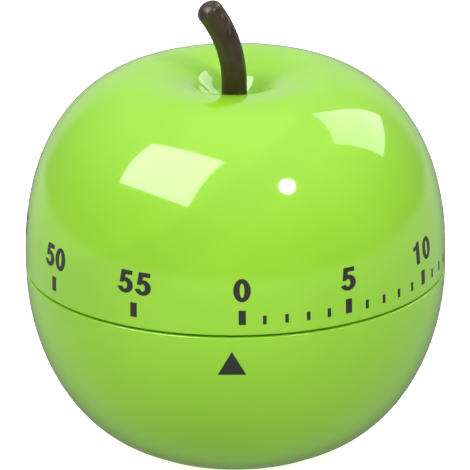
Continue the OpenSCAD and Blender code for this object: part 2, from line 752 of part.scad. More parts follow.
// ---------------------------------------------------------------- strike work
cam_z = gap_z1 - 2;
cam_t = 1;
cam_low = 4.1;                      // radius of the cam's round part
cam_high = 5.4;                     // radius at the top of its rise
cam_rise_a = 300;                   // where the rise starts, measured from the drop
cam_rise = 54;
drop_a = -146;                      // where the tail stands on the cam
function cam_radius(a) =
    cam_low + (cam_high - cam_low) * smooth(max(0, a - cam_rise_a) / cam_rise);
module strike_cam() {
    color("gold") difference() {
        translate([0, 0, cam_z]) linear_extrude(cam_t) polygon(
            [for (a = [0:6:354]) polar(cam_radius(a), drop_a - a)]);
        main_bore(cam_z, cam_t);
    }
}

tail_at = 6.6;                      // middle of the tail's round tip, clear of the cam
head_a = -110;
head_at = 13.3;                     // inner face of the hammer's head
head_z = 6.6;
head_r = 1.6;
head_l = 3.8;
head_neck_r = 1;
head_rivet_r = 0.6;
head_p = polar(head_at + head_l / 2, head_a);
arm_z = plate_z - 1.4;
arm_t = 0.8;
module hammer_arbor() {
    color("gray") translate([hammer_p[0], hammer_p[1], arm_z - 0.2])
        cylinder(r = arbor_r, h = top_plate_z1 - arm_z + 0.3);
}

// A flat lever from the hammer arbor to a point, its underside at height z
module lever(to, z, t, tip_r) {
    reach = norm(to - hammer_p);
    translate([0, 0, z]) difference() {
        linear_extrude(t) translate(hammer_p) rotate(heading(hammer_p, to)) union() {
            circle(r = 2);
            polygon([[0, -1.1], [reach, -tip_r], [reach, tip_r], [0, 1.1]]);
            translate([reach, 0]) circle(r = tip_r);
        }
        translate([hammer_p[0], hammer_p[1], 0]) arbor_bore();
    }
}

module hammer_tail() {
    color("lightgray") lever(polar(tail_at, drop_a), cam_z, cam_t, 0.5);
}

module hammer_arm() {
    color("lightgray") difference() {
        lever(head_p, arm_z, arm_t, 1.2);
        translate([head_p[0], head_p[1], arm_z - 1]) cylinder(r = head_rivet_r, h = arm_t + 2);
    }
}

module hammer_head() {
    color("gold") union() {
        rotate(head_a) translate([head_at, 0, head_z]) rotate([0, 90, 0])
            cylinder(r = head_r, h = head_l);
        translate([head_p[0], head_p[1], head_z]) {
            cylinder(r = head_neck_r, h = arm_z - head_z);
            cylinder(r = head_rivet_r - fit, h = arm_z + arm_t + 0.3 - head_z);
        }
    }
}

// A leaf from its foot under the bottom plate to the back of the arm, as it stands with the
// hammer fully lifted
module hammer_spring() {
    foot = polar(21.5, -138);
    end = polar(17.35, -112);
    across = leaf_t * [cos(heading(foot, end) - 90), sin(heading(foot, end) - 90)];
    color("silver") translate([0, 0, arm_z - 0.2]) union() {
        linear_extrude(0.9) polygon([foot, end, end + across, foot + across]);
        linear_extrude(plate_z - arm_z + 0.2) translate(foot) circle(r = 0.8);
    }
}

bell_r = 13;
bell_t = 0.6;
bell_rim_z = 3.2;
bell_flat_r = 3.4;                  // flat crown that sits on the post
function bell_curve(r, top) = [
    for (t = steps(0, 90, 14))
        [bell_flat_r + (r - bell_flat_r) * pow(cos(t), 0.7),
         bell_rim_z + (top - bell_rim_z) * pow(sin(t), 0.9)]];
module bell() {
    inner = bell_curve(bell_r - bell_t, bell_z);
    color("silver") difference() {
        rotate_extrude() polygon(concat(
            bell_curve(bell_r, bell_z + bell_t),
            [[0, bell_z + bell_t], [0, bell_z]],
            [for (i = [len(inner) - 1:-1:0]) inner[i]]));
        translate([0, 0, bell_z - 1]) cylinder(r = screw_hole_r + 0.2, h = bell_t + 2);
    }
}

module bell_screw() {
    color("lightgray") translate([0, 0, bell_z + bell_t]) screw(1.9, 1.2, screw_hole_r - fit, 4.4);
}

upper_shell();
stem();
lower_shell();
foot_ring();
bottom_plate();
top_plate();
pillar_1();
pillar_2();
pillar_3();
pillar_4();
pillar_nuts();
mount_screws();
lower_bushing();
upper_bushing();
main_arbor();
arbor_clip();
stop_arm();
stop_post();
thrust_washer();
great_wheel();
ratchet_wheel();
click();
click_stud();
click_spring();
spring_cup();
cup_cover();
cup_screws();
mainspring();
second_pinion();
second_wheel();
third_pinion();
third_wheel();
escape_pinion();
escape_wheel();
pallet_arbor();
pallet_anchor();
balance_bar();
strike_cam();
hammer_arbor();
hammer_tail();
hammer_arm();
hammer_head();
hammer_spring();
bell();
bell_screw();
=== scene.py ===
"""Apple-shaped kitchen timer: glossy shells, stem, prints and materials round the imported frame."""
import json
import math

import bmesh
import bpy
from mathutils import Matrix, Vector


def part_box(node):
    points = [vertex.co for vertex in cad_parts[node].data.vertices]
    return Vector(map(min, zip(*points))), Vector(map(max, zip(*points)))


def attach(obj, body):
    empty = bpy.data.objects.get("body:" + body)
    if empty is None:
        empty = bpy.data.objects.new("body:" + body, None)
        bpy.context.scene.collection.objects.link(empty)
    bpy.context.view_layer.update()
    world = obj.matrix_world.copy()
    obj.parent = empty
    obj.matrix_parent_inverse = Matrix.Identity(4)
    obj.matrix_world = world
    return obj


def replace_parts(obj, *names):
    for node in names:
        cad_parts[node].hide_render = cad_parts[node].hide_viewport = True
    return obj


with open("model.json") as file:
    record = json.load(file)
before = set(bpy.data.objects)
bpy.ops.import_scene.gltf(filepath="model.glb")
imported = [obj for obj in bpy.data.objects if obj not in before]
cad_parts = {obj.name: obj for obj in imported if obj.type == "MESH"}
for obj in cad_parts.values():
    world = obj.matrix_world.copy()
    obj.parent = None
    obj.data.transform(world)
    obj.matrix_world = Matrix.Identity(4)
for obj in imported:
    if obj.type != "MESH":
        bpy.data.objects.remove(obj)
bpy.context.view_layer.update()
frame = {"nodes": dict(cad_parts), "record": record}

MM = 0.001

# ---------------------------------------------------------------- sizes read from the frame
upper_low, upper_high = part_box("upper_shell")
BODY_R, TOP_Z, SEAM_TOP = upper_high.x, upper_high.z, upper_low.z
BASE_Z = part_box("lower_shell")[0].z
FOOT_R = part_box("foot_ring")[1].x
STEM_TOP_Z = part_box("stem")[1].z

# ---------------------------------------------------------------- the rest of the body's sizes
SEAM_BOTTOM = SEAM_TOP - 0.35 * MM
SEAM_LIP = 0.18 * MM                     # radius of the rounded edges at the seam
WALL = 1.8 * MM
EQUATOR_Z = 27.0 * MM
CROWN_H = TOP_Z - EQUATOR_Z
CROWN_N_R, CROWN_N_Z = 1.88, 2.42        # powers of the crown's curve, from the rim outwards
BELLY_N = 2.012                          # power of the lower half's curve
BELLY_H, BELLY_R = 27.28 * MM, 10.35 * MM
RIM_R = 12.5 * MM                        # rim of the hollow round the stem
HOLLOW_DIP, HOLLOW_PIT = 1.8 * MM, 2.6 * MM
HOLLOW_FLOOR_R = 1.9 * MM
PIT_R, PIT_N = 2.75 * MM, 3.5

# ---------------------------------------------------------------- mesh helpers
SHELL_SHARP, PRISM_SHARP, PRINT_SHARP, STEM_SHARP = 35, 30, 40, 50   # degrees


def spaced(a, b, n):
    """n equal steps from a to b, with both ends."""
    return [a + (b - a) * i / n for i in range(n + 1)]


def smooth_step(s):
    """Eases from 0 to 1 as s goes from 0 to 1."""
    return s * s * (3 - 2 * s)


def link_piece(name, mesh, sharp):
    """Makes a mesh a smooth-shaded object, with edges past the sharp angle (degrees) kept."""
    mesh.polygons.foreach_set("use_smooth", [True] * len(mesh.polygons))
    mesh.set_sharp_from_angle(angle=math.radians(sharp))
    piece = bpy.data.objects.new(name, mesh)
    bpy.context.scene.collection.objects.link(piece)
    return piece


def new_mesh(name, verts, faces, sharp):
    mesh = bpy.data.meshes.new(name)
    mesh.from_pydata(verts, [], faces)
    mesh.validate()
    bm = bmesh.new()
    bm.from_mesh(mesh)
    bmesh.ops.remove_doubles(bm, verts=bm.verts, dist=1e-7)
    bmesh.ops.recalc_face_normals(bm, faces=bm.faces)
    bm.to_mesh(mesh)
    bm.free()
    return link_piece(name, mesh, sharp)


def lathe(name, profile, segments=192):
    """Turns a closed outline of (radius, height) points about the Z axis."""
    rings, verts = [], []
    for r, z in profile:
        if r < 1e-6:
            rings.append([len(verts)])
            verts.append((0, 0, z))
            continue
        rings.append([len(verts) + i for i in range(segments)])
        verts += [(r * math.cos(a), r * math.sin(a), z)
                  for a in (2 * math.pi * i / segments for i in range(segments))]
    faces = []
    for k in range(len(rings)):
        a, b = rings[k], rings[(k + 1) % len(rings)]
        if len(a) == 1 and len(b) == 1:
            continue
        for i in range(segments):
            j = (i + 1) % segments
            if len(a) == 1:
                faces.append((a[0], b[j], b[i]))
            elif len(b) == 1:
                faces.append((a[i], a[j], b[0]))
            else:
                faces.append((a[i], a[j], b[j], b[i]))
    return new_mesh(name, verts, faces, SHELL_SHARP)


def prism(name, outline, z0, z1, turn=0.0, at=(0.0, 0.0), upright=False):
    """A closed prism over an outline; upright ones have the outline in the XZ plane."""
    n = len(outline)
    spin = Matrix.Rotation(turn, 3, "Z")
    if upright:
        verts = [spin @ Vector((x, y, z)) for y in (z0, z1) for x, z in outline]
    else:
        verts = [spin @ Vector((x + at[0], y + at[1], z)) for z in (z0, z1) for x, y in outline]
    faces = [tuple(range(n)), tuple(range(2 * n - 1, n - 1, -1))]
    faces += [(i, i + n, (i + 1) % n + n, (i + 1) % n) for i in range(n)]
    return new_mesh(name, verts, faces, PRISM_SHARP)


def round_outline(r, n=48):
    return [(r * math.cos(2 * math.pi * i / n), r * math.sin(2 * math.pi * i / n))
            for i in range(n)]


def carve(piece, tools, operation):
    """Joins the tools to a piece, cuts them out of it or keeps what they share, and deletes
    them."""
    for tool in tools:
        step = piece.modifiers.new("carve", "BOOLEAN")
        step.operation = operation
        step.object = tool
        step.solver = "EXACT"
    bpy.context.view_layer.update()
    made = bpy.data.meshes.new_from_object(
        piece.evaluated_get(bpy.context.evaluated_depsgraph_get()))
    piece.modifiers.clear()
    piece.data = made
    for tool in tools:
        bpy.data.objects.remove(tool)
    made.polygons.foreach_set("use_smooth", [True] * len(made.polygons))
    made.set_sharp_from_angle(angle=math.radians(SHELL_SHARP))
    return piece


# ---------------------------------------------------------------- the apple's outline
def belly_radius(z, inset=0.0):
    """Radius of the lower half at a height, outside or an inset further in."""
    depth = (EQUATOR_Z - z) / (BELLY_H - inset)
    return BELLY_R + (BODY_R - inset - BELLY_R) * max(0.0, 1 - depth ** BELLY_N) ** (1 / BELLY_N)


def crown_point(t, inset=0.0):
    """A point of the upper half, t from 0 at the equator to a right angle at the rim."""
    r = RIM_R + (BODY_R - inset - RIM_R) * max(0.0, math.cos(t)) ** (2 / CROWN_N_R)
    return r, EQUATOR_Z + (CROWN_H - inset) * math.sin(t) ** (2 / CROWN_N_Z)


def body_radius(z):
    """Radius of the outside at a height on either half, below the crown's top."""
    s = (z - EQUATOR_Z) / CROWN_H
    if s <= 0:
        return belly_radius(z)
    return RIM_R + (BODY_R - RIM_R) * (1 - s ** CROWN_N_Z) ** (1 / CROWN_N_R)


def pit_share(r):
    """How much of the pit's depth a radius has: 1 on its floor, falling off outwards."""
    return 1 / (1 + (max(0.0, r - HOLLOW_FLOOR_R) / PIT_R) ** PIT_N)


def hollow_z(r):
    """Height of the hollow's surface: a gentle dip, then a pit with a flat bottom."""
    rim = pit_share(RIM_R)
    return (TOP_Z - HOLLOW_DIP * ((RIM_R - r) / (RIM_R - HOLLOW_FLOOR_R)) ** 2
            - HOLLOW_PIT * (pit_share(r) - rim) / (1 - rim))


# ---------------------------------------------------------------- the two shells
BOSS_R, BOSS_Z = 4.6 * MM, 36 * MM       # the boss that is pressed on the arbor
RIB_FOOT_R, RIB_FOOT_Z = BOSS_R - 0.5 * MM, (39 * MM, 47 * MM)
RIB_HALF_W = 0.6 * MM
BORE_R, BORE_FLAT, BORE_TOP = 2.22 * MM, 1.72 * MM, 44.7 * MM
PEG_HOLE_R, PEG_HOLE_DEEP = 1.22 * MM, 3.2 * MM

RECESS_R, RECESS_H = 10 * MM, 0.6 * MM   # the shallow recess in the base
GROOVE_W, GROOVE_H = 2.2 * MM, 1.1 * MM  # the groove that holds the foot ring
BASE_EDGE = 0.25 * MM
LIP_RING_R, LIP_RING_W = 27.9 * MM, 1.4 * MM
LIP_RING_UP, LIP_RING_DOWN = 1.8 * MM, 1.2 * MM
FLOOR_Z, FLOOR_BEND = 2.2 * MM, 2 * MM
SCREW_ANGLES = (30, 150, 270)
SCREW_AT, SCREW_BOSS_R, PLATE_Z = 21.5 * MM, 2.8 * MM, 12 * MM
BELL_POST_R, BELL_POST_Z = 3 * MM, 8.8 * MM
SCREW_HOLE_R, SCREW_HOLE_DEEP = 0.9 * MM, 4.6 * MM
SLOT_NEAR, SLOT_FAR, SLOT_HALF_W = 4.2 * MM, 8.8 * MM, 0.6 * MM


def upper_skin():
    lip = SEAM_LIP
    seam_r = belly_radius(SEAM_TOP)
    outline = [(seam_r - WALL, SEAM_TOP)]
    outline += [(seam_r - lip + lip * math.sin(a), SEAM_TOP + lip - lip * math.cos(a))
                for a in spaced(0, math.pi / 2, 6)]
    outline += [(belly_radius(z), z) for z in spaced(SEAM_TOP + lip, EQUATOR_Z, 5)[1:]]
    outline += [crown_point(t) for t in spaced(0, math.pi / 2, 150)[1:]]
    outline += [(r, hollow_z(r)) for r in spaced(RIM_R, HOLLOW_FLOOR_R, 80)[1:]]
    outline += [(0, hollow_z(HOLLOW_FLOOR_R))]
    outline += [(0, BOSS_Z), (BOSS_R, BOSS_Z), (BOSS_R, hollow_z(BOSS_R) - 1.3 * WALL)]
    outline += [(r, hollow_z(r) - WALL) for r in spaced(BOSS_R, RIM_R, 24)[1:]]
    outline += [crown_point(t, WALL) for t in spaced(math.radians(88), 0, 60)]
    shell = lathe("apple_upper_half", outline)
    rib = ([(RIB_FOOT_R, z) for z in RIB_FOOT_Z]
           + [crown_point(math.radians(t), WALL / 2) for t in spaced(88, 55, 8)])
    carve(shell, [prism("rib", rib, -RIB_HALF_W, RIB_HALF_W, math.radians(a), upright=True)
                  for a in range(30, 360, 60)], "UNION")
    bore = [(min(x, BORE_FLAT), y) for x, y in round_outline(BORE_R, 64)]
    floor_z = hollow_z(HOLLOW_FLOOR_R)
    carve(shell, [prism("bore", bore, BOSS_Z - MM, BORE_TOP),
                  prism("peg_hole", round_outline(PEG_HOLE_R), floor_z - PEG_HOLE_DEEP,
                        floor_z + MM)], "DIFFERENCE")
    return shell


def lower_skin():
    lip, edge = SEAM_LIP, BASE_EDGE
    seam_r, base_r = belly_radius(SEAM_BOTTOM), belly_radius(BASE_Z + edge)
    recess_z, groove_z = BASE_Z + RECESS_H, BASE_Z + GROOVE_H
    outline = [(0, recess_z), (RECESS_R, recess_z), (RECESS_R, BASE_Z),
               (FOOT_R - GROOVE_W, BASE_Z), (FOOT_R - GROOVE_W, groove_z), (FOOT_R, groove_z),
               (FOOT_R, BASE_Z)]
    outline += [(base_r - edge + edge * math.sin(a), BASE_Z + edge - edge * math.cos(a))
                for a in spaced(0, math.pi / 3, 5)]
    low = BASE_Z + edge * 1.4
    outline += [(belly_radius(z), z) for z in
                (low + (SEAM_BOTTOM - lip - low) * (1 - math.cos(s)) for s in
                 spaced(math.radians(4), math.pi / 2, 110))]
    outline += [(seam_r - lip + lip * math.cos(a), SEAM_BOTTOM - lip + lip * math.sin(a))
                for a in spaced(0, math.pi / 2, 6)[1:]]
    ring_top = SEAM_BOTTOM + LIP_RING_UP
    outline += [(LIP_RING_R, SEAM_BOTTOM), (LIP_RING_R, ring_top),
                (LIP_RING_R - LIP_RING_W, ring_top),
                (LIP_RING_R - LIP_RING_W, SEAM_BOTTOM - LIP_RING_DOWN)]
    outline += [(belly_radius(z, WALL), z) for z in spaced(24 * MM, 3 * MM, 40)]
    outline += [(belly_radius(FLOOR_Z, WALL) - FLOOR_BEND, FLOOR_Z), (0, FLOOR_Z)]
    shell = lathe("apple_lower_half", outline)

    core = [(0, 3 * MM)] + [(belly_radius(z, WALL / 2), z)
                            for z in spaced(3 * MM, PLATE_Z + MM, 20)] + [(0, PLATE_Z + MM)]
    turns = [math.radians(a) for a in SCREW_ANGLES]
    bosses = []
    for turn in turns:
        boss = prism("screw_boss", round_outline(SCREW_BOSS_R), 2 * MM, PLATE_Z, turn,
                     (SCREW_AT, 0))
        bosses.append(carve(boss, [lathe("boss_core", core, 96)], "INTERSECT"))
    bell_post = prism("bell_post", round_outline(BELL_POST_R), FLOOR_Z - 0.5 * MM, BELL_POST_Z)
    carve(shell, bosses + [bell_post], "UNION")

    hole = round_outline(SCREW_HOLE_R, 24)
    slot = [(SLOT_NEAR, -SLOT_HALF_W), (SLOT_FAR, -SLOT_HALF_W), (SLOT_FAR, SLOT_HALF_W),
            (SLOT_NEAR, SLOT_HALF_W)]
    cuts = [prism("screw_hole", hole, PLATE_Z - SCREW_HOLE_DEEP, PLATE_Z + MM, turn,
                  (SCREW_AT, 0)) for turn in turns]
    cuts.append(prism("bell_hole", hole, BELL_POST_Z - SCREW_HOLE_DEEP, BELL_POST_Z + MM))
    cuts += [prism("sound_slot", slot, -MM, FLOOR_Z + MM, math.radians(a))
             for a in range(0, 360, 45)]
    carve(shell, cuts, "DIFFERENCE")
    return shell


# ---------------------------------------------------------------- prints that follow the body
PRINT_LIFT, PRINT_DEPTH = 0.025 * MM, 0.08 * MM    # above and below the body's surface
PRINT_STEP = 0.12 * MM


def wrap(x, z, lift, azimuth):
    """A point x along the body's surface from the given azimuth (0 faces -Y), at height z."""
    r = body_radius(z) + lift
    a = azimuth + x / BODY_R
    return r * math.sin(a), -r * math.cos(a), z


def resample(points):
    """The closed outline again, with points no further apart than the step."""
    out = []
    for (x0, z0), (x1, z1) in zip(points, points[1:] + points[:1]):
        n = max(1, math.ceil(math.hypot(x1 - x0, z1 - z0) / PRINT_STEP))
        out += [(x0 + (x1 - x0) * i / n, z0 + (z1 - z0) * i / n) for i in range(n)]
    return out


def print_piece(name, shapes):
    """Makes one piece of thin slabs that follow the body. Each shape is an outline, the holes
    in it, and its azimuth; its points are distances along the surface and heights."""
    bm = bmesh.new()
    for outline, holes, azimuth in shapes:
        edges = []
        for loop in [resample(outline)] + [resample(hole) for hole in holes]:
            vs = [bm.verts.new((x, z, 0)) for x, z in loop]
            edges += [bm.edges.new((vs[i], vs[(i + 1) % len(vs)])) for i in range(len(vs))]
        made = bmesh.ops.triangle_fill(bm, use_beauty=True, use_dissolve=False, edges=edges)
        faces = [f for f in made["geom"] if isinstance(f, bmesh.types.BMFace)]
        under = set(v for f in faces for v in f.verts)
        raised = bmesh.ops.extrude_face_region(bm, geom=faces)
        over = set(v for v in raised["geom"] if isinstance(v, bmesh.types.BMVert))
        for verts, lift in ((under, -PRINT_DEPTH), (over, PRINT_LIFT)):
            for v in verts:
                v.co = wrap(v.co.x, v.co.y, lift, azimuth)
    bmesh.ops.recalc_face_normals(bm, faces=bm.faces)
    mesh = bpy.data.meshes.new(name)
    bm.to_mesh(mesh)
    bm.free()
    return link_piece(name, mesh, PRINT_SHARP)


# ---------------------------------------------------------------- numerals, marks and pointer
def arc(cx, cz, rx, rz, a, b, n):
    return [(cx + rx * math.cos(math.radians(t)), cz + rz * math.sin(math.radians(t)))
            for t in spaced(a, b, n)]


# Each digit is an outline and the holes in it, drawn on this grid.
GRID_W, GRID_H = 57, 100
DIGITS = {
    "0": (arc(28.5, 50, 28.5, 51, 0, 350, 35), [arc(28.5, 50, 7.8, 32, 0, 350, 35)]),
    "1": ([(22, 0), (43, 0), (43, 100), (28, 100), (25, 92), (19, 86), (6, 82), (6, 66),
           (22, 68)], []),
    "2": (arc(29, 69, 28, 32, 185, -30, 22)
          + [(48, 41), (38, 31), (31, 24), (28.5, 19), (57, 19), (57, 0), (0, 0), (1, 9),
             (5, 20), (13, 31), (24, 41), (33, 50)]
          + arc(29, 69, 9, 14, -25, 185, 16), []),
    "3": (arc(28, 73, 26, 28, 172, -48, 20) + arc(28, 29, 28.5, 30.5, 48, -172, 22)
          + arc(28, 29, 9.5, 13, -172, 80, 20) + [(22, 43), (22, 60)]
          + arc(28, 73, 8.5, 11.5, -75, 172, 20), []),
    "4": ([(32, 0), (51, 0), (51, 20), (58, 20), (58, 37.5), (51, 37.5), (51, 100), (31, 100),
           (0, 38), (0, 20), (32, 20)], [[(32, 37.5), (17, 37.5), (32, 69)]]),
    "5": ([(7, 44), (13, 100), (54, 100), (54, 81), (29, 81), (27, 66)]
          + arc(28, 33.5, 29.5, 35, 84, -163, 26) + arc(27, 33, 9.5, 16.5, -160, 140, 22), []),
}
DIGIT_W, DIGIT_H, DIGIT_GAP = 2.45 * MM, 3.25 * MM, 0.36 * MM
PRINT_Z = EQUATOR_Z + 0.13 * MM
DIGIT_Z = PRINT_Z + 4.2 * MM
MARK_Z = PRINT_Z + 0.84 * MM
MAJOR_W, MAJOR_H = 1.0 * MM, 2.1 * MM
FINE_W, FINE_H = 0.52 * MM, 1.26 * MM
POINTER_LOW, POINTER_HIGH = PRINT_Z - 6.76 * MM, PRINT_Z - 3.16 * MM
POINTER_HALF_W = 2.02 * MM
POINTER_AT, ZERO_AT = math.radians(-1.2), math.radians(1.64)
MINUTE = math.radians(6)
LAST_FINE_MINUTE = 14


def numeral_shapes(text, azimuth):
    total = len(text) * DIGIT_W + (len(text) - 1) * DIGIT_GAP
    shapes = []
    for k, digit in enumerate(text):
        left = -total / 2 + k * (DIGIT_W + DIGIT_GAP)

        def place(points):
            return [(left + x / GRID_W * DIGIT_W, DIGIT_Z + z / GRID_H * DIGIT_H)
                    for x, z in points]

        outline, holes = DIGITS[digit]
        shapes.append((place(outline), [place(hole) for hole in holes], azimuth))
    return shapes


def mark_shapes(width, height, minutes):
    bar = [(-width / 2, MARK_Z), (width / 2, MARK_Z), (width / 2, MARK_Z + height),
           (-width / 2, MARK_Z + height)]
    return [(bar, [], ZERO_AT + minute * MINUTE) for minute in minutes]


def dial_prints():
    fives = range(0, 60, 5)
    pieces = [print_piece(f"numeral_{minute}",
                          numeral_shapes(str(minute), ZERO_AT + minute * MINUTE))
              for minute in fives]
    pieces.append(print_piece("five_minute_marks", mark_shapes(MAJOR_W, MAJOR_H, fives)))
    fine = [minute for minute in range(1, LAST_FINE_MINUTE + 1) if minute % 5]
    pieces.append(print_piece("minute_marks", mark_shapes(FINE_W, FINE_H, fine)))
    return pieces


def pointer_print():
    outline = [(-POINTER_HALF_W, POINTER_LOW), (POINTER_HALF_W, POINTER_LOW), (0, POINTER_HIGH)]
    return print_piece("pointer_triangle", [(outline, [], POINTER_AT)])


# ---------------------------------------------------------------- stem
STEM_FOOT_R, STEM_TIP_R, STEM_WAIST = 1.83 * MM, 1.92 * MM, 0.05 * MM
STEM_STRAIGHT = 3.3 * MM                 # it rises straight, then bends on this radius
STEM_BEND_R, STEM_BEND = 17.8 * MM, math.radians(35.5)
STEM_SPLIT = 4 / 18                      # share of its rows in the straight stretch
STEM_DOME = 0.8                          # height of the tip's dome as a share of its radius
STEM_DOME_END, STEM_PEAK = math.radians(84), 0.995
STEM_SIDES, STEM_ROWS, STEM_DOME_ROWS = 48, 70, 14
GROOVES, GROOVE_DEPTH, GROOVE_TWIST = 5, 0.005, 0.07
WAVE_DEPTH, WAVE_STEP = 0.003, 0.5


def stem_axis(t):
    """Centre and lean of the stem, t from 0 at its foot to 1 at the middle of its tip."""
    foot = hollow_z(HOLLOW_FLOOR_R)
    if t < STEM_SPLIT:
        return Vector((0, 0, foot + STEM_STRAIGHT * t / STEM_SPLIT)), 0.0
    a = STEM_BEND * (t - STEM_SPLIT) / (1 - STEM_SPLIT)
    return Vector((-STEM_BEND_R * (1 - math.cos(a)), 0,
                   foot + STEM_STRAIGHT + STEM_BEND_R * math.sin(a))), a


def stem_skin():
    rows = []
    for t in spaced(0, 1, STEM_ROWS):
        centre, lean = stem_axis(t)
        rows.append((centre, lean, STEM_FOOT_R + (STEM_TIP_R - STEM_FOOT_R) * smooth_step(t)
                     - STEM_WAIST * math.sin(math.pi * t)))
    centre, lean = stem_axis(1)
    along = Vector((-math.sin(lean), 0, math.cos(lean)))
    for b in spaced(0, STEM_DOME_END, STEM_DOME_ROWS)[1:]:
        rows.append((centre + along * STEM_DOME * STEM_TIP_R * math.sin(b), lean,
                     STEM_TIP_R * math.cos(b)))

    verts, faces = [], []
    for k, (c, lean, r) in enumerate(rows):
        for i in range(STEM_SIDES):
            a = 2 * math.pi * i / STEM_SIDES
            wave = (1 - GROOVE_DEPTH * (1 + math.sin(GROOVES * a + GROOVE_TWIST * k))
                    - WAVE_DEPTH * (1 + math.sin(WAVE_STEP * k)))
            x, y = r * wave * math.cos(a), r * wave * math.sin(a)
            verts.append((c.x + x * math.cos(lean), y, c.z + x * math.sin(lean)))
    for low in range(0, (len(rows) - 1) * STEM_SIDES, STEM_SIDES):
        high = low + STEM_SIDES
        for i in range(STEM_SIDES):
            j = (i + 1) % STEM_SIDES
            faces.append((low + i, low + j, high + j, high + i))
    last, peak = (len(rows) - 1) * STEM_SIDES, len(verts)
    verts.append(tuple(centre + along * STEM_DOME * STEM_TIP_R * STEM_PEAK))
    faces += [(last + i, last + (i + 1) % STEM_SIDES, peak) for i in range(STEM_SIDES)]
    faces.append(tuple(reversed(range(STEM_SIDES))))
    return new_mesh("stem_skin", verts, faces, STEM_SHARP)


# ---------------------------------------------------------------- materials
def node_material(name):
    mat = bpy.data.materials.new(name)
    mat.use_nodes = True
    return mat, mat.node_tree.nodes, mat.node_tree.links, mat.node_tree.nodes["Principled BSDF"]


def noise(nodes, links, scale, detail, stretch=(1, 1, 1)):
    """A noise texture in the piece's own coordinates, in cycles per metre."""
    coords = nodes.new("ShaderNodeTexCoord")
    mapping = nodes.new("ShaderNodeMapping")
    mapping.inputs["Scale"].default_value = stretch
    tex = nodes.new("ShaderNodeTexNoise")
    tex.inputs["Scale"].default_value = scale
    tex.inputs["Detail"].default_value = detail
    links.new(coords.outputs["Object"], mapping.inputs["Vector"])
    links.new(mapping.outputs["Vector"], tex.inputs["Vector"])
    return tex.outputs["Fac"]


def ramp(nodes, links, source, stops):
    """A colour for each position; a stop's colour may be one number, for a grey."""
    node = nodes.new("ShaderNodeValToRGB")
    while len(node.color_ramp.elements) < len(stops):
        node.color_ramp.elements.new(0.5)
    for element, (position, colour) in zip(node.color_ramp.elements, stops):
        element.position = position
        element.color = (*colour, 1) if isinstance(colour, tuple) else (colour,) * 3 + (1,)
    links.new(source, node.inputs["Fac"])
    return node.outputs["Color"]


MIX_AMOUNT, MIX_FIRST, MIX_SECOND, MIX_RESULT = 0, 6, 7, 2    # sockets of a colour mix


def mixed(nodes, links, mode, amount, first, second):
    """A colour mix of two colours; the amount and either colour may be a socket or a value."""
    node = nodes.new("ShaderNodeMix")
    node.data_type = "RGBA"
    node.blend_type = mode
    for index, value in ((MIX_AMOUNT, amount), (MIX_FIRST, first), (MIX_SECOND, second)):
        if isinstance(value, bpy.types.NodeSocket):
            links.new(value, node.inputs[index])
        else:
            node.inputs[index].default_value = value
    return node.outputs[MIX_RESULT]


def stretched(nodes, links, source, from_low, from_high, low=0.0, high=1.0):
    """The source's range mapped onto the range from low to high."""
    node = nodes.new("ShaderNodeMapRange")
    for name, value in (("From Min", from_low), ("From Max", from_high), ("To Min", low),
                        ("To Max", high)):
        node.inputs[name].default_value = value
    links.new(source, node.inputs["Value"])
    return node.outputs["Result"]


def roughen(nodes, links, source, rough, shader):
    links.new(stretched(nodes, links, source, 0.3, 0.7, *rough), shader.inputs["Roughness"])


def bump(nodes, links, source, strength, distance, shader):
    node = nodes.new("ShaderNodeBump")
    node.inputs["Strength"].default_value = strength
    node.inputs["Distance"].default_value = distance
    links.new(source, node.inputs["Height"])
    links.new(node.outputs["Normal"], shader.inputs["Normal"])


def plastic(name, dark, light, rough, grain=400, bumpiness=0.02, coat=0.0):
    mat, nodes, links, shader = node_material(name)
    links.new(ramp(nodes, links, noise(nodes, links, 55, 2), [(0.35, dark), (0.65, light)]),
              shader.inputs["Base Color"])
    roughen(nodes, links, noise(nodes, links, grain, 4), rough, shader)
    bump(nodes, links, noise(nodes, links, 130, 1), bumpiness, 0.2 * MM, shader)
    shader.inputs["IOR"].default_value = 1.5
    shader.inputs["Coat Weight"].default_value = coat
    shader.inputs["Coat Roughness"].default_value = 0.03
    return mat


def metal(name, dark, light, rough, stretch=(1, 1, 30)):
    mat, nodes, links, shader = node_material(name)
    brush = noise(nodes, links, 500, 5, stretch)
    links.new(ramp(nodes, links, brush, [(0.3, dark), (0.7, light)]),
              shader.inputs["Base Color"])
    roughen(nodes, links, brush, rough, shader)
    bump(nodes, links, brush, 0.08, 0.03 * MM, shader)
    shader.inputs["Metallic"].default_value = 1.0
    return mat


def stem_plastic():
    """Satin brown plastic with fine pale streaks that run up it, stronger near the tip."""
    mat, nodes, links, shader = node_material("stem_plastic")
    streak = noise(nodes, links, 1800, 3, (1, 1, 0.12))
    blotch = noise(nodes, links, 500, 3)
    coords = nodes.new("ShaderNodeTexCoord")
    split = nodes.new("ShaderNodeSeparateXYZ")
    links.new(coords.outputs["Object"], split.inputs["Vector"])
    rise = stretched(nodes, links, split.outputs["Z"], STEM_TOP_Z - 9 * MM, STEM_TOP_Z - MM)
    body = ramp(nodes, links, blotch,
                [(0.35, (0.026, 0.015, 0.004)), (0.65, (0.046, 0.026, 0.011))])
    pale = ramp(nodes, links, streak, [(0.56, 0), (0.72, 0.7)])
    amount = nodes.new("ShaderNodeMath")
    amount.operation = "MULTIPLY"
    links.new(pale, amount.inputs[0])
    links.new(rise, amount.inputs[1])
    links.new(mixed(nodes, links, "MIX", amount.outputs["Value"], body, (0.19, 0.16, 0.15, 1)),
              shader.inputs["Base Color"])
    roughen(nodes, links, blotch, (0.3, 0.48), shader)
    bump(nodes, links, streak, 0.3, 0.1 * MM, shader)
    return mat


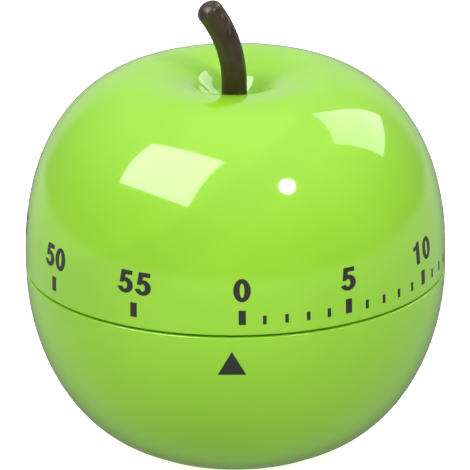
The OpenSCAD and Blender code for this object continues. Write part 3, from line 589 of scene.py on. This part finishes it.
GREEN = plastic("lime_plastic", (0.325, 0.73, 0.028), (0.345, 0.76, 0.032), (0.05, 0.11),
                coat=0.4)
BROWN = stem_plastic()
INK = plastic("print_ink", (0.012, 0.015, 0.01), (0.022, 0.026, 0.018), (0.35, 0.5), grain=3000,
              bumpiness=0.1)
RUBBER = plastic("foot_rubber", (0.02, 0.02, 0.02), (0.035, 0.035, 0.034), (0.6, 0.8),
                 grain=2500, bumpiness=0.4)
WHITE = plastic("cup_plastic", (0.72, 0.72, 0.68), (0.8, 0.8, 0.77), (0.3, 0.42), grain=900,
                bumpiness=0.1)
CAD_LOOKS = {
    "rubber": RUBBER,
    "white_plastic": WHITE,
    "green_plastic": GREEN,
    "brown_plastic": BROWN,
    "spring_steel": metal("spring_steel", (0.19, 0.22, 0.28), (0.3, 0.34, 0.42), (0.2, 0.34)),
    "bell_metal": metal("bell_nickel", (0.68, 0.67, 0.64), (0.78, 0.77, 0.74), (0.06, 0.14)),
    "plate_steel": metal("zinc_plate", (0.55, 0.56, 0.57), (0.68, 0.69, 0.7), (0.25, 0.4),
                         (1, 30, 1)),
    "turned_steel": metal("turned_steel", (0.46, 0.47, 0.49), (0.6, 0.61, 0.63), (0.15, 0.3)),
    "brass": metal("brass", (0.68, 0.48, 0.17), (0.82, 0.62, 0.26), (0.18, 0.32)),
}


def dress(piece, mat):
    piece.data.materials.clear()
    piece.data.materials.append(mat)


for sub in frame["record"]["subparts"]:
    cad_node = frame["nodes"][sub["node"]]
    look = CAD_LOOKS[sub["material_slot"]]
    if not cad_node.data.materials:
        cad_node.data.materials.append(look)
    for index in range(len(cad_node.data.materials)):
        cad_node.data.materials[index] = look

upper = upper_skin()
dress(upper, GREEN)
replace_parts(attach(upper, "dial"), "upper_shell")
lower = lower_skin()
dress(lower, GREEN)
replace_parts(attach(lower, "base"), "lower_shell")
stem = stem_skin()
dress(stem, BROWN)
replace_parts(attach(stem, "dial"), "stem")
for piece in dial_prints():
    dress(piece, INK)
    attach(piece, "dial")
pointer = pointer_print()
dress(pointer, INK)
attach(pointer, "base")

# ---------------------------------------------------------------- floor, light and camera
scene = bpy.context.scene


def floor():
    size = 6.0
    mesh = bpy.data.meshes.new("floor")
    mesh.from_pydata([(-size, -size, 0), (size, -size, 0), (size, size, 0), (-size, size, 0)],
                     [], [(0, 1, 2, 3)])
    piece = bpy.data.objects.new("floor", mesh)
    scene.collection.objects.link(piece)
    mat, nodes, links, shader = node_material("floor_white")
    links.new(ramp(nodes, links, noise(nodes, links, 8, 2), [(0.3, 0.93), (0.7, 0.95)]),
              shader.inputs["Base Color"])
    shader.inputs["Roughness"].default_value = 0.9
    shader.inputs["Emission Color"].default_value = (1, 1, 1, 1)
    shader.inputs["Emission Strength"].default_value = 0.8
    dress(piece, mat)
    # the light that the timer gets from below is set in the world, so the floor's own bounce
    # and shadow are left out and the floor can be white
    piece.visible_diffuse = False
    piece.visible_glossy = False
    piece.visible_shadow = False


floor()
CENTRE = Vector((0, 0, EQUATOR_Z))


def softbox(name, middle, across, up, power, reflection=True, light=True, shape="RECTANGLE"):
    """A flat lamp that faces the timer's centre. Its middle is given from there, and its width
    and height are vectors, all in metres."""
    middle, across, up = Vector(middle), Vector(across), Vector(up)
    x = across.normalized()
    z = x.cross(up).normalized()
    if z.dot(middle) < 0:
        x, z = -x, -z
    y = z.cross(x)
    data = bpy.data.lights.new(name, "AREA")
    data.shape = shape
    data.size, data.size_y = across.length, up.length
    data.energy = power
    lamp = bpy.data.objects.new(name, data)
    lamp.matrix_world = (Matrix.Translation(CENTRE + middle)
                         @ Matrix((x, y, z)).transposed().to_4x4())
    scene.collection.objects.link(lamp)
    lamp.visible_camera = False
    lamp.visible_glossy = reflection
    lamp.visible_diffuse = light


# a box is a lamp's middle, width and height; one that both shows as a reflection and lights the
# timer is two lamps in the same place, a glint and a light
LEFT_BOX = ((-0.55, -0.304, 0.789), (0.293, 0.259, 0.545), (0.601, -0.526, -0.124))
RIGHT_BOX = ((0.69, 0.482, 0.621), (0.349, 0.316, -0.365), (0.389, -0.399, 0.042))
ROUND_BOX = ((0.507, -0.657, 0.761), (0.155, 0.054, -0.024), (-0.033, 0.165, 0.115))
softbox("left_glint", *LEFT_BOX, 12, light=False)
softbox("left_light", *LEFT_BOX, 5.5, reflection=False)
softbox("right_glint", *RIGHT_BOX, 3.3, light=False)
softbox("round_glint", *ROUND_BOX, 2.5, light=False, shape="ELLIPSE")
softbox("round_light", *ROUND_BOX, 3, reflection=False, shape="ELLIPSE")
softbox("front_light", (-0.3, -1.05, 0.35), (1.2, 0, 0), (0, 0.2, 0.7), 1.8, reflection=False)

# the surroundings' brightness by height, from straight down (0) to straight up (1): the table is
# pale up to its horizon and darker under the timer, the room above it is dim and its ceiling is
# bright
SURROUNDINGS = [(0.0, 0.36), (0.2, 0.5), (0.36, 0.66), (0.435, 0.78), (0.47, 0.30), (0.62, 0.36),
                (0.81, 0.75), (0.97, 1.05), (1.0, 1.1)]
BACKDROP = (0.58, 0.58, 0.58, 1)
TABLE_FAR = (0.0, 0.85, -0.53)           # the direction of the far side of the table


def studio():
    """The room that the timer reflects, which also gives most of its light."""
    world = bpy.data.worlds.new("studio")
    world.use_nodes = True
    scene.world = world
    nodes, links = world.node_tree.nodes, world.node_tree.links
    background = nodes["Background"]
    background.inputs["Strength"].default_value = 1.0
    direction = nodes.new("ShaderNodeTexCoord").outputs["Generated"]
    split = nodes.new("ShaderNodeSeparateXYZ")
    links.new(direction, split.inputs["Vector"])
    depth = split.outputs["Y"]
    height = stretched(nodes, links, split.outputs["Z"], -1.0, 1.0)

    def times(first, second):
        return mixed(nodes, links, "MULTIPLY", 1.0, first, second)

    # the room is a little darker behind the timer
    room = times(ramp(nodes, links, height, SURROUNDINGS),
                 ramp(nodes, links, depth, [(0.3, 1), (0.65, 0.85)]))
    # a pale backdrop stands on the far side of the table
    backdrop = times(ramp(nodes, links, depth, [(0.78, 0), (0.88, 1)]),
                     ramp(nodes, links, height, [(0.45, 0), (0.47, 1)]))
    lit = mixed(nodes, links, "MIX", backdrop, room, BACKDROP)
    # the far side of the table is dark, which draws a thin dark edge round the timer
    table = nodes.new("ShaderNodeVectorMath")
    table.operation = "DOT_PRODUCT"
    table.inputs[1].default_value = TABLE_FAR
    links.new(direction, table.inputs[0])
    edge = ramp(nodes, links, table.outputs["Value"], [(0.8, 1), (0.97, 0.45)])
    links.new(times(lit, edge), background.inputs["Color"])


studio()
scene.view_settings.view_transform = "Standard"
scene.view_settings.look = "None"

ELEVATION, ROLL = math.radians(20.14), math.radians(0.435)
DISTANCE = 0.926
FRAME_W = 67.2 * MM                      # width of the picture at the timer
SENSOR_W = 36.0
# the equator's centre stands this far below and to the right of the picture's centre
BELOW, RIGHT = 3.167 * MM, 0.061 * MM
camera_data = bpy.data.cameras.new("camera")
camera_data.sensor_width = SENSOR_W
camera_data.lens = SENSOR_W * DISTANCE / FRAME_W
camera_data.clip_start = 0.01
camera_data.clip_end = 50
camera = bpy.data.objects.new("camera", camera_data)
scene.collection.objects.link(camera)
back = Vector((0, -math.cos(ELEVATION), math.sin(ELEVATION)))
right = Vector((1, 0, 0))
facing = Matrix((right, back.cross(right), back)).transposed().to_4x4()
camera.matrix_world = (Matrix.Translation(CENTRE + back * DISTANCE) @ facing
                       @ Matrix.Rotation(math.atan(RIGHT / DISTANCE), 4, "Y")
                       @ Matrix.Rotation(math.atan(BELOW / DISTANCE), 4, "X")
                       @ Matrix.Rotation(-ROLL, 4, "Z"))
scene.camera = camera
